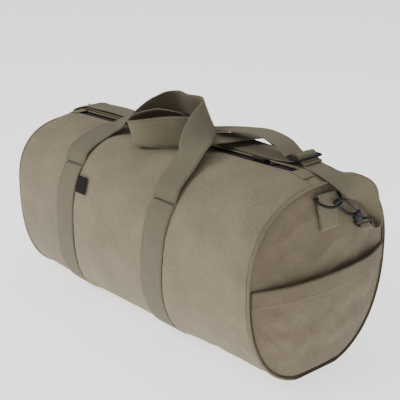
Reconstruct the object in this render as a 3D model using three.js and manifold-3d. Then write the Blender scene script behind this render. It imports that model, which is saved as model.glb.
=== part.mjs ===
// Soft canvas barrel duffel bag. Millimetres, +Z up, +X along the bag towards its
// pocket end, -Y the front side, floor at z = 0.
import * as THREE from 'three';
import Module from 'manifold-3d';

const wasm = await Module();
wasm.setup();

// ---- driving sizes ---------------------------------------------------------
const LENGTH = 610;             // seam to seam along the axis
const HALF = LENGTH / 2;
const CANVAS = 1.6;             // wall of the canvas shell
const GAP = 0.35;               // air left between touching layers
const SAG = 4;                  // how far the underside is pressed flat
const SWELL = 0.08;             // fullness of the middle over the ends
const NEAR_END = { half: 148.6, below: 170.5, above: 129.8, square: 2.32 };
const FAR_END = { half: 122, below: 172, above: 109.5, square: 2.6 };

const ZIP_Y = -10;              // zipper line, just in front of the crown
const ZIP_RISE = 0.027;         // slope of the straight zipper track
const ZIP_Z0 = 304;             // height of the track at x = 0
const ZIP_FALLOFF = 75;         // canvas width drawn down to the track
const ZIP_FLAT = 24;            // width either side that follows it exactly
const ZIP_FADE = [272, HALF];   // where the track fades into the round ends
const SLOT = [-262, 268];       // opening along x
const SLOT_HALF = 9;

const BAND_W = 50;              // handle webbing
const BAND_T = 1.9;
const BAND_LEAN = 0.15;         // the bands drift along x as they go down
const BAND_TOP = 256;           // height where the handles leave the bag
const BAND_X = { left: -128, right: 116 };

const STRAP_W = 38;             // shoulder strap webbing
const STRAP_T = 1.8;
const STRAP_Y = 21;             // the strap rests just behind the zipper

const HEM_Z = 172;              // mouth of the end pocket
const POCKET_STANDOFF = 9;      // fullness of the pocket in front of the panel
const NEAR_DOME = 24;
const FAR_DOME = 18;

// ---- materials -------------------------------------------------------------
const canvasMat = new THREE.MeshStandardMaterial({ color: 0x9c927f, roughness: 0.95 });
const panelMat = new THREE.MeshStandardMaterial({ color: 0x8c8270, roughness: 0.95 });
const webbingMat = new THREE.MeshStandardMaterial({ color: 0x8e8772, roughness: 0.9 });
const zipMat = new THREE.MeshStandardMaterial({ color: 0x3a3236, roughness: 0.6 });
const metalMat = new THREE.MeshStandardMaterial({ color: 0x1e1f22, roughness: 0.4, metalness: 0.8 });
const labelMat = new THREE.MeshStandardMaterial({ color: 0x26262a, roughness: 0.9 });

// ---- small maths -----------------------------------------------------------
const V = (x, y, z) => new THREE.Vector3(x, y, z);
const clamp = (v, lo, hi) => Math.min(hi, Math.max(lo, v));
const mix = (a, b, t) => a + (b - a) * t;
const smooth = (t) => { const c = clamp(t, 0, 1); return c * c * (3 - 2 * c); };

// ---- closed bodies from point grids ------------------------------------------
function solidFrom(points, triangles) {
  const flat = new Float32Array(points.length * 3);
  points.forEach((p, i) => { flat[3 * i] = p.x; flat[3 * i + 1] = p.y; flat[3 * i + 2] = p.z; });
  let volume = 0;
  for (const [a, b, c] of triangles) {
    volume += points[a].dot(points[b].clone().cross(points[c]));
  }
  const index = [];
  for (const [a, b, c] of triangles) index.push(...(volume < 0 ? [a, c, b] : [a, b, c]));
  const geometry = new THREE.BufferGeometry();
  geometry.setAttribute('position', new THREE.BufferAttribute(flat, 3));
  geometry.setIndex(index);
  geometry.computeVertexNormals();
  return geometry;
}

// Skin through a list of equal loops; open lofts are capped with fans.
function loft(loops, closed = false) {
  const n = loops[0].length;
  const points = loops.flat();
  const triangles = [];
  const rows = closed ? loops.length : loops.length - 1;
  for (let i = 0; i < rows; i++) {
    const k = (i + 1) % loops.length;
    for (let j = 0; j < n; j++) {
      const a = i * n + j, b = i * n + (j + 1) % n, c = k * n + j, d = k * n + (j + 1) % n;
      triangles.push([a, b, c], [b, d, c]);
    }
  }
  if (!closed) {
    const last = (loops.length - 1) * n;
    for (let j = 1; j < n - 1; j++) {
      triangles.push([0, j + 1, j], [last, last + j, last + j + 1]);
    }
  }
  return solidFrom(points, triangles);
}

// Two facing point grids joined round every free edge; `present` drops cells.
function thickGrid(outer, inner, wrap, present = () => true) {
  const rows = outer.length, cols = outer[0].length;
  const cellCols = wrap ? cols : cols - 1;
  const at = (i, j, side) => side * rows * cols + i * cols + (j % cols);
  const points = [...outer.flat(), ...inner.flat()];
  const has = (i, j) => {
    if (i < 0 || i >= rows - 1) return false;
    if (!wrap && (j < 0 || j >= cellCols)) return false;
    return present(i, (j + cellCols) % cellCols);
  };
  const triangles = [];
  const quad = (a, b, c, d) => triangles.push([a, b, c], [a, c, d]);
  for (let i = 0; i < rows - 1; i++) {
    for (let j = 0; j < cellCols; j++) {
      if (!has(i, j)) continue;
      quad(at(i, j, 0), at(i + 1, j, 0), at(i + 1, j + 1, 0), at(i, j + 1, 0));
      quad(at(i, j, 1), at(i, j + 1, 1), at(i + 1, j + 1, 1), at(i + 1, j, 1));
      if (!has(i - 1, j)) quad(at(i, j, 0), at(i, j + 1, 0), at(i, j + 1, 1), at(i, j, 1));
      if (!has(i + 1, j)) quad(at(i + 1, j + 1, 0), at(i + 1, j, 0), at(i + 1, j, 1), at(i + 1, j + 1, 1));
      if (!has(i, j - 1)) quad(at(i + 1, j, 0), at(i, j, 0), at(i, j, 1), at(i + 1, j, 1));
      if (!has(i, j + 1)) quad(at(i, j + 1, 0), at(i + 1, j + 1, 0), at(i + 1, j + 1, 1), at(i, j + 1, 1));
    }
  }
  const used = new Map();
  const kept = [];
  const packed = triangles.map((t) => t.map((v) => {
    if (!used.has(v)) { used.set(v, kept.length); kept.push(points[v]); }
    return used.get(v);
  }));
  return solidFrom(kept, packed);
}

// Round wire along points, with frames carried along the path.
function wire(points, radius, closed = false, sides = 8) {
  const n = points.length;
  const tangents = points.map((p, i) => {
    const a = closed ? points[(i + n - 1) % n] : points[Math.max(0, i - 1)];
    const b = closed ? points[(i + 1) % n] : points[Math.min(n - 1, i + 1)];
    return b.clone().sub(a).normalize();
  });
  let side = Math.abs(tangents[0].z) < 0.9 ? V(0, 0, 1) : V(1, 0, 0);
  const loops = points.map((p, i) => {
    side = side.clone().addScaledVector(tangents[i], -side.dot(tangents[i])).normalize();
    const other = tangents[i].clone().cross(side);
    return Array.from({ length: sides }, (_, k) => {
      const t = (2 * Math.PI * k) / sides;
      return p.clone().addScaledVector(side, radius * Math.cos(t)).addScaledVector(other, radius * Math.sin(t));
    });
  });
  return loft(loops, closed);
}

// Flat webbing along stations of [centre, width direction, width factor].
function ribbon(stations, width, thick, steps) {
  const centre = new THREE.CatmullRomCurve3(stations.map((s) => V(...s[0])), false, 'centripetal');
  const across = new THREE.CatmullRomCurve3(stations.map((s) => V(...s[1]).normalize()), false, 'catmullrom');
  const factor = stations.map((s) => s[2] ?? 1);
  const loops = [];
  for (let i = 0; i <= steps; i++) {
    const t = i / steps;
    const p = centre.getPoint(t);
    const tangent = centre.getTangent(t);
    const f = t * (stations.length - 1);
    const k = Math.min(Math.floor(f), stations.length - 2);
    const e = smooth(f - k);
    const w = across.getPoint(t);
    w.addScaledVector(tangent, -w.dot(tangent)).normalize();
    const h = tangent.clone().cross(w).multiplyScalar(thick / 2);
    w.multiplyScalar((width / 2) * mix(factor[k], factor[k + 1], e));
    loops.push([
      p.clone().add(w).add(h), p.clone().sub(w).add(h),
      p.clone().sub(w).sub(h), p.clone().add(w).sub(h),
    ]);
  }
  return loft(loops);
}

// ---- boolean help ------------------------------------------------------------
function toManifold(geometry) {
  const g = geometry.index ? geometry.toNonIndexed() : geometry;
  const pos = g.attributes.position.array;
  const key = new Map();
  const verts = [], tris = [];
  for (let i = 0; i < pos.length; i += 3) {
    const id = [0, 1, 2].map((k) => Math.round(pos[i + k] * 1e4)).join(',');
    if (!key.has(id)) { key.set(id, verts.length / 3); verts.push(pos[i], pos[i + 1], pos[i + 2]); }
    tris.push(key.get(id));
  }
  const clean = [];
  for (let i = 0; i < tris.length; i += 3) {
    const [a, b, c] = [tris[i], tris[i + 1], tris[i + 2]];
    if (a !== b && b !== c && a !== c) clean.push(a, b, c);
  }
  return new wasm.Manifold(new wasm.Mesh({
    numProp: 3, vertProperties: new Float32Array(verts), triVerts: new Uint32Array(clean),
  }));
}

function fromManifold(body) {
  const m = body.getMesh();
  const g = new THREE.BufferGeometry();
  const out = new Float32Array(m.numVert * 3);
  for (let i = 0; i < m.numVert; i++) {
    for (let k = 0; k < 3; k++) out[3 * i + k] = m.vertProperties[i * m.numProp + k];
  }
  g.setAttribute('position', new THREE.BufferAttribute(out, 3));
  g.setIndex([...m.triVerts]);
  g.computeVertexNormals();
  return g;
}

function join(...parts) {
  return fromManifold(parts.map(toManifold).reduce((a, b) => a.add(b)));
}

function cut(base, ...tools) {
  return fromManifold(tools.map(toManifold).reduce((a, b) => a.subtract(b), toManifold(base)));
}

// ---- the soft outline ----------------------------------------------------------
function section(x) {
  const w = clamp((x + HALF) / LENGTH, 0, 1);
  const full = 1 + SWELL * 4 * w * (1 - w);
  return {
    half: mix(FAR_END.half, NEAR_END.half, w) * full,
    below: mix(FAR_END.below, NEAR_END.below, w) * full,
    above: mix(FAR_END.above, NEAR_END.above, w) * full,
    square: mix(FAR_END.square, NEAR_END.square, w),
  };
}

const trackZ = (x) => ZIP_Z0 + ZIP_RISE * x;

function crownZ(x, y) {
  const s = section(x);
  return s.below + s.above * Math.pow(Math.max(0, 1 - Math.pow(Math.abs(y) / s.half, s.square)), 1 / s.square);
}

// Height change that draws the crown onto the straight zipper track.
function crownShift(x, y) {
  const near = smooth((ZIP_FALLOFF - Math.abs(y - ZIP_Y)) / (ZIP_FALLOFF - ZIP_FLAT));
  const along = smooth((ZIP_FADE[1] - Math.abs(x)) / (ZIP_FADE[1] - ZIP_FADE[0]));
  return near * along * (trackZ(x) - crownZ(x, ZIP_Y));
}

// Angle from the crown towards the front for a point on the upper half at y.
function angleAt(x, y) {
  const s = section(x);
  return Math.atan2(-y / s.half, (crownZ(x, y) - s.below) / s.above);
}

// Point of the outline at an angle, moved outwards by `out` but kept above `floor`.
function skin(x, angle, out = 0, floor = 0) {
  const s = section(x);
  const sn = Math.sin(angle), cs = Math.cos(angle);
  const k = Math.pow(Math.pow(Math.abs(sn), s.square) + Math.pow(Math.abs(cs), s.square), -1 / s.square);
  const rise = cs > 0 ? s.above : s.below + SAG;
  const y = -s.half * k * sn;
  const z = s.below + rise * k * cs;
  let ny = -Math.sign(sn) * Math.pow(Math.abs(k * sn), s.square - 1) / s.half;
  let nz = Math.sign(cs) * Math.pow(Math.abs(k * cs), s.square - 1) / rise;
  const len = Math.hypot(ny, nz) || 1;
  ny /= len; nz /= len;
  const shift = cs > 0 ? crownShift(x, y) : 0;
  return V(x, y + ny * out, Math.max(z + nz * out + shift, floor));
}

const range = (a, b, n) => Array.from({ length: n + 1 }, (_, i) => mix(a, b, i / n));
const bandX = (side, z) => BAND_X[side] + BAND_LEAN * (z - BAND_TOP);

// ---- body shell ------------------------------------------------------------------
const BAND_LIFT = BAND_T + GAP;   // the canvas is pressed up over the bands
const bandEdges = ['left', 'right'].flatMap((side) => {
  const c = bandX(side, 0), e = BAND_W / 2 + 1;
  return [c - e - 1, c - e, c + e, c + e + 1];
});

function canvasFloor(x) {
  let lift = 0;
  for (const side of ['left', 'right']) {
    const d = Math.abs(x - bandX(side, 0)) - BAND_W / 2 - 1;
    lift = Math.max(lift, clamp(1 - d, 0, 1));
  }
  return lift * BAND_LIFT;
}

function shellColumns(x, count) {
  const front = angleAt(x, ZIP_Y - SLOT_HALF);
  const rear = 2 * Math.PI + angleAt(x, ZIP_Y + SLOT_HALF);
  return range(front, rear, count);
}

function bodyWrap() {
  const xs = [...range(-HALF, SLOT[0], 3), ...range(SLOT[0], SLOT[1], 20).slice(1, -1),
    ...range(SLOT[1], HALF, 3), ...bandEdges].sort((a, b) => a - b)
    .filter((x, i, all) => i === 0 || x - all[i - 1] > 0.5 || bandEdges.includes(x));
  const outer = [], inner = [];
  for (const x of xs) {
    const angles = shellColumns(x, 43);
    outer.push(angles.map((a) => skin(x, a, 0, canvasFloor(x))));
    inner.push(angles.map((a) => skin(x, a, -CANVAS, canvasFloor(x) + CANVAS)));
  }
  const last = outer[0].length - 1;
  return thickGrid(outer, inner, true, (i, j) =>
    j !== last || xs[i + 1] <= SLOT[0] + 0.01 || xs[i] >= SLOT[1] - 0.01);
}

// ---- end panels, pocket, bindings ---------------------------------------------------
// Dome over an end: `lift` moves the whole dome outwards, `rim` draws its edge inwards.
function domePoint(end, radius, angle, depth, rim, lift) {
  const x = end * (HALF - 1);
  const s = section(x);
  const edge = skin(x, angle, -rim, rim);
  const zc = s.below;
  const r = radius;
  return V(x + end * (lift + depth * Math.pow(1 - r * r, 0.85)), edge.y * r, zc + (edge.z - zc) * r);
}

const PANEL_RIM = CANVAS + GAP + 1;   // the panel's edge turns in under the wrap
const RINGS = [0.04, 0.24, 0.46, 0.66, 0.82, 0.93, 1];

function endPanel(end, depth) {
  const rim = PANEL_RIM;
  const angles = range(0, 2 * Math.PI, 48).slice(0, -1);
  const side = (lift, radii) => radii.map((r) => angles.map((a) => domePoint(end, r, a, depth, rim, lift)));
  return loft([...side(-CANVAS, RINGS), ...side(0, [...RINGS].reverse())]);
}

// Welt of turned canvas that runs round an end seam.
function seamBinding(end) {
  const angles = range(0, 2 * Math.PI, 56).slice(0, -1);
  const lip = [[0.3, -3.4], [0.3, 0.4], [1.6, 1.2], [3.6, 0.9], [4.4, -0.6], [4.2, -1.6]];
  const loops = angles.map((a) => lip.map(([dx, out]) => {
    const p = skin(end * HALF, a, out, Math.max(0, 0.2 - out * 0.2));
    return V(end * (HALF + dx), p.y, p.z);
  }));
  return loft(loops, true);
}

// Point standing `off` clear of the near dome at height z; u runs across, -1 to 1.
function nearDomePoint(u, z, off, fullness, rim, reachScale = 1) {
  const s = section(HALF);
  const half = s.half - rim;
  const drop = Math.min(1, (s.below - z) / (s.below + SAG - rim));
  const reach = half * Math.pow(Math.max(0, 1 - Math.pow(Math.abs(drop), s.square)), 1 / s.square);
  const y = u * reach * reachScale;
  const r = Math.min(1, Math.pow(Math.pow(Math.abs(y) / half, s.square) + Math.pow(Math.abs(drop), s.square), 1 / s.square));
  const dome = NEAR_DOME * Math.pow(1 - r * r, 0.85);
  return V(HALF - 1 + dome + off + fullness * smooth((1 - r) * 2.2), y, z);
}

const POCKET_RIM = CANVAS + GAP + 4.5;
function endPocket() {
  const grid = (extra) => range(0, 1, 9).map((v) => range(-1, 1, 18)
    .map((u) => nearDomePoint(u, mix(13, HEM_Z, Math.pow(v, 0.8)), GAP + 2.2 + extra, POCKET_STANDOFF, POCKET_RIM)));
  return thickGrid(grid(CANVAS), grid(0), false);
}

// Doubled edge along the pocket's mouth.
function pocketHem() {
  const grid = (extra) => range(HEM_Z - 26, HEM_Z, 2).map((z) => range(-1, 1, 18)
    .map((u) => nearDomePoint(u, z, 2 * GAP + 2.2 + CANVAS + extra, POCKET_STANDOFF, POCKET_RIM, 0.992)));
  return thickGrid(grid(1.4), grid(0), false);
}

// ---- webbing bands ----------------------------------------------------------------------
function angleForHeight(side, z, front) {
  let lo = 0, hi = Math.PI / 2 + 0.4;
  const x = bandX(side, z);
  for (let i = 0; i < 40; i++) {
    const m = (lo + hi) / 2;
    if (skin(x, m).z > z) lo = m; else hi = m;
  }
  return front ? lo : 2 * Math.PI - lo;
}

function bandOver(side, from, to, out, thick, rows) {
  const grid = (extra) => range(from, to, rows).map((a) => {
    const mid = skin(bandX(side, 0), a);
    const xc = bandX(side, mid.z);
    const floor = BAND_T - extra;
    return range(-BAND_W / 2, BAND_W / 2, 2).map((d) => skin(xc + d, a, out + extra, floor));
  });
  return thickGrid(grid(thick), grid(0), false);
}

function webbingBand(side) {
  const from = angleForHeight(side, BAND_TOP - 2, true);
  const to = angleForHeight(side, BAND_TOP - 2, false);
  return bandOver(side, from, to, GAP + 0.2, BAND_T, 40);
}

// ---- side label -------------------------------------------------------------------------
function sideLabel() {
  const a0 = angleForHeight('left', 239, true), a1 = angleForHeight('left', 213, true);
  const grid = (out) => range(a0, a1, 4).map((a) => range(-104, -77, 3).map((x) => skin(x, a, out)));
  return thickGrid(grid(GAP + 0.8), grid(GAP), false);
}

// ---- zipper -----------------------------------------------------------------------------
const TAPE = { y: [4.8, 17], h: [-4.9, -3.9] };
const TEETH = { y: [0.9, 4.5], h: [-5.6, -2.3], pitch: 5, x: [-256, 262] };
const onTrack = (x, y, h) => V(x, ZIP_Y + y, trackZ(x) + h);

function trackGeometry(shape, h0, h1) {
  const g = new THREE.ExtrudeGeometry(shape, { depth: h1 - h0, bevelEnabled: false });
  const p = g.attributes.position;
  for (let i = 0; i < p.count; i++) {
    const v = onTrack(p.getX(i), p.getY(i), h0 + p.getZ(i));
    p.setXYZ(i, v.x, v.y, v.z);
  }
  return g;
}

function trackBox(x0, x1, y0, y1, h0, h1) {
  const shape = new THREE.Shape([new THREE.Vector2(x0, y0), new THREE.Vector2(x1, y0),
    new THREE.Vector2(x1, y1), new THREE.Vector2(x0, y1)]);
  return trackGeometry(shape, h0, h1);
}

function zipperTape(sign) {
  const [a, b] = TAPE.y;
  return trackBox(SLOT[0] - 4, SLOT[1] + 4, sign > 0 ? a : -b, sign > 0 ? b : -a, ...TAPE.h);
}

function zipperTeeth(sign) {
  const [tip, base] = TEETH.y;
  const [x0, x1] = TEETH.x;
  const count = Math.floor((x1 - x0) / TEETH.pitch);
  const outline = [];
  for (let i = 0; i < count; i++) {
    const x = x0 + i * TEETH.pitch;
    const root = tip + 1.6;
    outline.push([x, root], [x + 0.8, tip], [x + 3.2, tip], [x + 4, root]);
  }
  outline.push([x0 + count * TEETH.pitch - 1, base], [x0, base]);
  return trackGeometry(new THREE.Shape(outline.map(([x, y]) => new THREE.Vector2(x, sign * y))), ...TEETH.h);
}

function zipperStop(x0, x1) {
  return trackBox(x0, x1, -4.4, 4.4, -5.6, -2.0);
}

// Canvas tab sewn across an end of the zipper.
function zipperEndTab(end) {
  const x0 = end < 0 ? SLOT[0] - 22 : SLOT[1] - 3, x1 = end < 0 ? SLOT[0] + 3 : SLOT[1] + 22;
  const grid = (out) => range(x0, x1, 5).map((x) => range(ZIP_Y - 15, ZIP_Y + 10.5, 6)
    .map((y) => skin(x, angleAt(x, y), out)));
  return thickGrid(grid(GAP + 1.2), grid(GAP), false);
}

const SLIDER_X = 208;

function zipperSlider() {
  const plan = [[-10, -5.6], [3, -7], [9, -6.2], [11, -2.6], [11, 2.6], [9, 6.2], [3, 7], [-10, 5.6]];
  const plate = (h0, h1) => trackGeometry(new THREE.Shape(plan.map(([x, y]) => new THREE.Vector2(SLIDER_X + x, y))), h0, h1);
  const post = trackBox(SLIDER_X + 1, SLIDER_X + 9, -0.45, 0.45, -6.8, -1);
  const bail = (x0, x1, h0, h1) => trackBox(SLIDER_X + x0, SLIDER_X + x1, -2, 2, h0, h1);
  return join(plate(-1.8, -0.2), plate(-7.6, -6.1), post,
    bail(-8.4, -6.6, -0.4, 4.6), bail(-1.6, 0.2, -0.4, 4.6), bail(-8.4, 0.2, 3.6, 4.8));
}

// Leaf with a wire eye round the slider's bail, lying back towards the far end.
function zipperPull() {
  const x = SLIDER_X - 4.2;
  const eye = join(trackBox(x - 0.7, x + 0.7, -4.4, 4.4, 1.7, 3.1),
    trackBox(x - 10, x + 0.7, -4.4, -2.8, 1.6, 3.2), trackBox(x - 10, x + 0.7, 2.8, 4.4, 1.6, 3.2));
  const leaf = [[-8.8, -4.4], [-8.8, 4.4], [-30, 4.9], [-33, 3], [-33, -3], [-30, -4.9]];
  const plate = trackGeometry(new THREE.Shape(leaf.map(([dx, y]) => new THREE.Vector2(x + dx, y))), 1.6, 3.2);
  return join(eye, plate);
}

// ---- ring tabs, rings and hooks ------------------------------------------------------------
// One end's hardware is laid out for the near end and mirrored for the far one.
const ENDS = {
  near: { sign: 1, ringZ: 284 },
  far: { sign: -1, ringZ: 262 },
};
const RING_WIRE = 2.1;
const RING_DROP = 23;
const RING_SLACK = 6;           // the ring is this much wider than the tab each side
const RING_TILT = THREE.MathUtils.degToRad(60);
const TAB_Y = [-22, 16];

function panelX(end, y, z) {
  const depth = end > 0 ? NEAR_DOME : FAR_DOME;
  const s = section(end * HALF);
  const rim = CANVAS + GAP;
  const dz = (z - s.below) / ((z > s.below ? s.above : s.below + SAG) - rim);
  const r = Math.pow(Math.pow(Math.abs(y) / (s.half - rim), s.square) + Math.pow(Math.abs(dz), s.square), 1 / s.square);
  return end * (HALF - 1 + depth * Math.pow(Math.max(0, 1 - r * r), 0.85));
}

const ringBar = (e) => {
  const y = (TAB_Y[0] + TAB_Y[1]) / 2;
  return V(panelX(e.sign, y, e.ringZ) + e.sign * (GAP + 1.8 + RING_WIRE + 0.9), y, e.ringZ);
};

// Strip sewn flat on the panel, turned over the ring's bar and back down on itself.
function ringTab(e) {
  const y = (TAB_Y[0] + TAB_Y[1]) / 2, width = TAB_Y[1] - TAB_Y[0];
  const bar = ringBar(e);
  const t = 1.6, lay = (z, off) => V(panelX(e.sign, y, z) + e.sign * off, y, z);
  const stations = [];
  for (const z of [-48, -34, -20, -10]) stations.push(lay(e.ringZ + z, 2.4));
  const turn = RING_WIRE + 0.5 + t / 2;
  for (const a of [190, 150, 110, 70, 30, -10, -45]) {
    const t2 = THREE.MathUtils.degToRad(a);
    stations.push(V(bar.x + e.sign * turn * Math.cos(t2), y, bar.z + turn * Math.sin(t2)));
  }
  for (const z of [-9, -16, -30, -46]) stations.push(lay(e.ringZ + z, 2.4 + t + 0.5 + (z > -12 ? 0.8 : 0)));
  return ribbon(stations.map((p) => [[p.x, p.y, p.z], [0, 1, 0]]), width, t, 44);
}

function ringPoint(e, t) {
  const bar = ringBar(e);
  const half = (TAB_Y[1] - TAB_Y[0]) / 2 + RING_SLACK;
  const dy = -half * Math.cos(Math.PI * t), drop = RING_DROP * Math.sin(Math.PI * t);
  return V(bar.x + e.sign * drop * Math.sin(RING_TILT), bar.y + dy, bar.z - drop * Math.cos(RING_TILT));
}

function dRing(e) {
  const arc = range(0, 1, 20).map((t) => ringPoint(e, t));
  const bar = range(0, 1, 6).slice(1, -1).map((t) => arc[20].clone().lerp(arc[0], t));
  return wire([...arc, ...bar], RING_WIRE, true);
}

// Hook frame: u from the eye to the jaw, v across towards the gate, w through the jaw.
const JAW_AT = 0.7;
const HOOK_LEN = 66;            // eye centre to jaw centre
const EYE_U = 8.4, EYE_V = 12;  // half sizes of the swivel eye's oval
function hookFrame(e) {
  const jaw = ringPoint(e, JAW_AT);
  const eye = V(panelX(e.sign, 66, e.ringZ - 54) + e.sign * 14, 66, e.ringZ - 54);
  const u = jaw.clone().sub(eye).normalize();
  const along = ringPoint(e, JAW_AT + 0.02).sub(ringPoint(e, JAW_AT - 0.02)).normalize();
  const w = along.addScaledVector(u, -along.dot(u)).normalize();
  const v = w.clone().cross(u).multiplyScalar(e.sign);
  const origin = jaw.clone().addScaledVector(u, -HOOK_LEN);
  return { u, v, w, origin, place: (a, b, c = 0) => origin.clone().addScaledVector(u, a).addScaledVector(v, b).addScaledVector(w, c) };
}

function turned(profile, f, sides = 14) {
  const loops = profile.map(([a, r]) => Array.from({ length: sides }, (_, k) => {
    const t = (2 * Math.PI * k) / sides;
    return f.place(a, r * Math.cos(t), r * Math.sin(t));
  }));
  return loft(loops);
}

function hookEye(e) {
  const f = hookFrame(e);
  const squared = (c) => Math.sign(c) * Math.sqrt(Math.abs(c));
  const oval = range(0, 2 * Math.PI, 28).slice(0, -1)
    .map((t) => f.place(EYE_U * squared(Math.sin(t)), EYE_V * squared(Math.cos(t))));
  return join(wire(oval, 2, true), turned([[6.6, 2.6], [19, 2.6]], f));
}

function hookBody(e) {
  const f = hookFrame(e);
  const barrel = turned([[11.5, 5.4], [12.5, 6.2], [22, 6.2], [25, 4.6], [27, 3]], f);
  const bore = turned([[10, 3.1], [20.5, 3.1]], f);
  const shank = [[24, 0], [28, -3.2], [33, -6.8], [40, -8.2], [52, -8.4], [62, -8.2]];
  for (let a = -70; a <= 75; a += 14.5) {
    const t = THREE.MathUtils.degToRad(a);
    shank.push([66 + 8.4 * Math.cos(t), 8.4 * Math.sin(t)]);
  }
  shank.push([63, 8.4]);
  const curve = new THREE.CatmullRomCurve3(shank.map(([a, b]) => f.place(a, b)), false, 'centripetal');
  const arm = wire(curve.getPoints(34), 2.5, false);
  const lug = (w0, w1) => {
    const loop = (w) => [[19, 3], [31, 4.6], [32, 9.4], [27, 10.2], [20, 6]].map(([a, b]) => f.place(a, b, w));
    return loft([loop(w0), loop(w1)]);
  };
  return join(cut(barrel, bore), arm, lug(-2.9, -1.7), lug(1.7, 2.9));
}

const GATE_PIVOT = [28.5, 7.6];
function hookGate(e) {
  const f = hookFrame(e);
  const arm = wire([[GATE_PIVOT[0] - 1, GATE_PIVOT[1]], [40, 8], [50, 8.3], [59.4, 8.4]].map(([a, b]) => f.place(a, b)), 1.3, false);
  const knuckle = (w) => Array.from({ length: 10 }, (_, k) => {
    const t = (2 * Math.PI * k) / 10;
    return f.place(GATE_PIVOT[0] + 1.8 * Math.cos(t), GATE_PIVOT[1] + 1.8 * Math.sin(t), w);
  });
  return join(arm, loft([knuckle(-1.3), knuckle(1.3)]));
}

// ---- shoulder strap --------------------------------------------------------------------
const ADJUSTER = { x: 250, h: 13, bar: 1.9, reach: 13, half: 24 };
const adjZ = () => trackZ(ADJUSTER.x) + ADJUSTER.h;
const X_ACROSS = [1, 0, 0], Y_ACROSS = [0, 1, 0];
// Highest canvas under the strap's width, less than a millimetre apart across it.
const crownAt = (x) => Math.max(...[-1, 0, 1].map((k) => skin(x, angleAt(x, STRAP_Y + k * STRAP_W / 2)).z));

// Moves each station `d` along the strip's own normal.
function layered(stations, d) {
  return stations.map(([p, w, k], i, all) => {
    const a = V(...all[Math.max(0, i - 1)][0]), b = V(...all[Math.min(all.length - 1, i + 1)][0]);
    const n = b.sub(a).cross(V(...w)).normalize();
    return [[p[0] + n.x * d, p[1] + n.y * d, p[2] + n.z * d], w, k];
  });
}

// The strap from the top of the bag over its end and down to a hook's eye.
function overEnd(e, off) {
  const s = e.sign, top = crownAt(s * HALF);
  const f = hookFrame(e);
  const v = [f.v.x, f.v.y, f.v.z];
  const beyond = f.place(-EYE_U - 17, 0);
  const stations = [
    [[s * 266, STRAP_Y, crownAt(s * 266) + 2], Y_ACROSS],
    [[s * (HALF - 16), STRAP_Y, crownAt(s * (HALF - 16)) + 2.2], Y_ACROSS],
    [[s * (HALF + 1), STRAP_Y + 3, top + 3.4], Y_ACROSS],
    [[s * (HALF + 14), STRAP_Y + 13, top - 5], [0.1 * s, 0.95, 0.1]],
    [[s * (HALF + 25), 64, e.ringZ - 4], [0.35 * s, 0.7, 0.6]],
    [[s * (HALF + 28), 84, e.ringZ - 36], [0.75 * s, 0.6, 0.25], 0.6],
    [[s * (HALF + 30), 94, e.ringZ - 58], [s, 0.15, 0.1], 0.5],
    [[beyond.x, beyond.y, beyond.z], v, 0.44],
  ];
  return layered(stations, s * off);
}

function adjusterFrame() {
  const { x, bar, reach, half } = ADJUSTER;
  const z = adjZ(), y = STRAP_Y, c = 3;
  const loop = [];
  const corner = (sx, sy) => {
    for (const a of (sx * sy > 0 ? [0, 30, 60, 90] : [90, 60, 30, 0])) {
      const t = THREE.MathUtils.degToRad(a);
      loop.push(V(x + sx * (reach - c + c * Math.cos(t)), y + sy * (half - c + c * Math.sin(t)), z));
    }
  };
  corner(1, 1); corner(-1, 1); corner(-1, -1); corner(1, -1);
  const middle = wire([V(x, y - half, z), V(x, y + half, z)], bar, false, 10);
  return join(wire(loop, bar, true), middle);
}

// Stations round the outer bar of a hook's eye; `path` is [along, outwards, width factor].
function eyeStations(e, path) {
  const f = hookFrame(e);
  const out = -Math.sign(f.w.x * e.sign);
  return path.map(([a, c, k]) => {
    const p = f.place(a, 0, c * out);
    return [[p.x, p.y, p.z], [f.v.x, f.v.y, f.v.z], k];
  });
}

function eyeTurn(e, tail) {
  const r = 2 + 1.2 + STRAP_T / 2;
  return eyeStations(e, [[-EYE_U - 0.4, r, 0.42], [-EYE_U + r, 0, 0.42],
    [-EYE_U - 0.4, -r, 0.42], [-EYE_U - 0.4 - tail, -r + 0.3, 0.42]]);
}

function strapRun() {
  const { x } = ADJUSTER;
  const z = adjZ();
  const along = (dx, dz) => [[x + dx, STRAP_Y, z + dz], Y_ACROSS];
  const over = (px, lift) => [[px, STRAP_Y, crownAt(px) + lift], Y_ACROSS];
  const nearSide = overEnd(ENDS.near, 1.4);
  const farSide = overEnd(ENDS.far, 5);
  return ribbon([
    ...eyeTurn(ENDS.near, 9).reverse(),
    ...nearSide.reverse(),
    along(18, -6.4), along(12.5, -5.6), along(8.4, -1), along(4.6, 4), along(0, 5.7),
    along(-4.6, 4), along(-8.4, -0.6), along(-13, -4.4), along(-22, -1), along(-42, 11),
    over(165, 33), over(120, 28), over(78, 21), over(40, 13.5), over(0, 6.2), over(-60, 5), over(-140, 6), over(-200, 8), over(-240, 7),
    ...farSide,
    ...eyeTurn(ENDS.far, 3),
  ], STRAP_W, STRAP_T, 190);
}

function strapReturn() {
  const { x } = ADJUSTER;
  const z = adjZ();
  const along = (dx, dz) => [[x + dx, STRAP_Y, z + dz], Y_ACROSS];
  const over = (px, lift) => [[px, STRAP_Y, crownAt(px) + lift], Y_ACROSS];
  const farSide = overEnd(ENDS.far, 0.8).slice(0, -3);   // it is sewn to the upper layer there
  return ribbon([
    ...farSide.reverse(),
    over(-240, 2.6), over(-190, 2.4), over(-140, 2.2), over(-80, 2), over(0, 2), over(80, 2), over(150, 2), over(205, 2.2),
    along(-20, -9), along(-11, -7.9), along(-4.5, -6), along(0.4, -3.3), along(3.3, 0), along(0, 3.3), along(-3.2, 0.3), along(-4.4, -2.8), along(-7.4, -4.4),
  ], STRAP_W, STRAP_T - 0.3, 150);
}

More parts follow.
